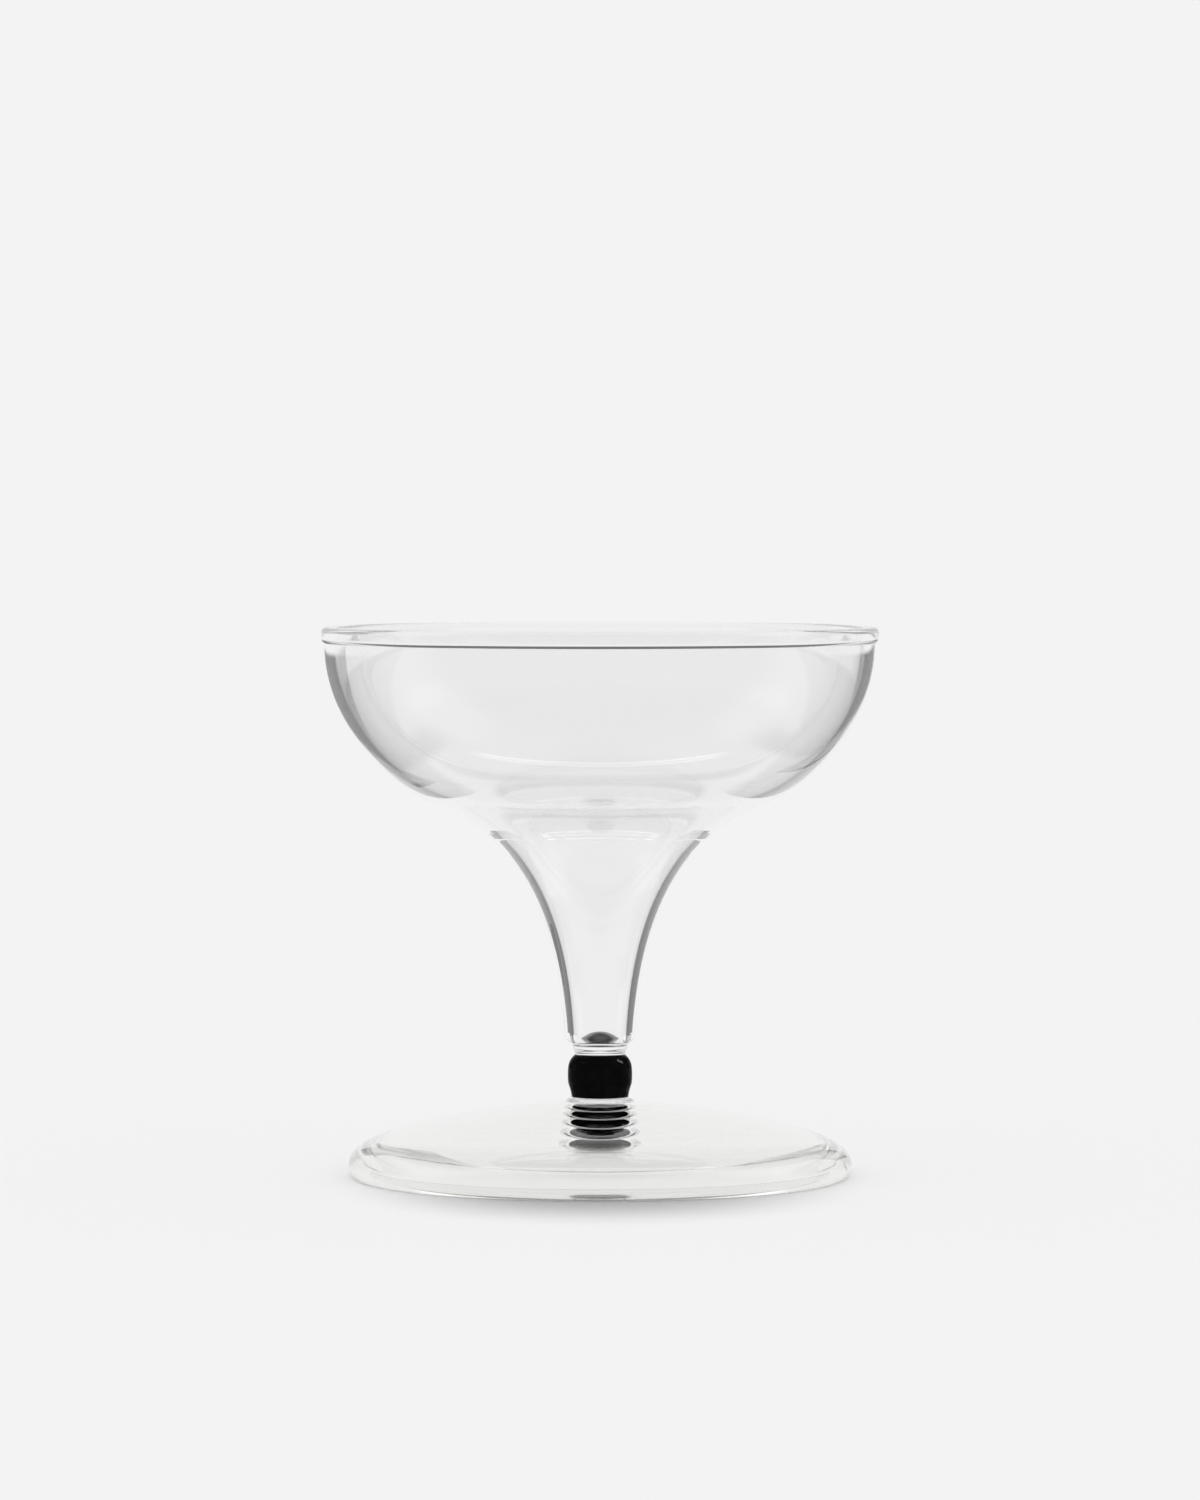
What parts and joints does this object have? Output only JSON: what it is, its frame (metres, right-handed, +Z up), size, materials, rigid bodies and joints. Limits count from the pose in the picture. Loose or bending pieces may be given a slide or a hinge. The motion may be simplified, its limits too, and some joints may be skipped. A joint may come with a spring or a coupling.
{
  "type": "coupe glass",
  "caption": "Clear blown coupe glass: wide shallow bowl with a rolled rim, hollow trumpet stem closed at its tip, black glass bead and a low domed foot.",
  "frame": {"origin": "centre of the foot's base, on the table", "axes": "+Z up along the axis of the glass; +X and +Y lie in the table plane, and every direction in it is alike"},
  "size_m": [0.1, 0.1, 0.0988],
  "materials": {
    "clear_glass": "clear, smooth, fire-polished",
    "black_glass": "opaque black, glossy"
  },
  "bodies": {
    "root": {"bowl": "clear_glass", "stem": "clear_glass", "upper_joint": "clear_glass", "bead": "black_glass", "lower_joint": "clear_glass", "foot": "clear_glass"}
  },
  "joints": []
}
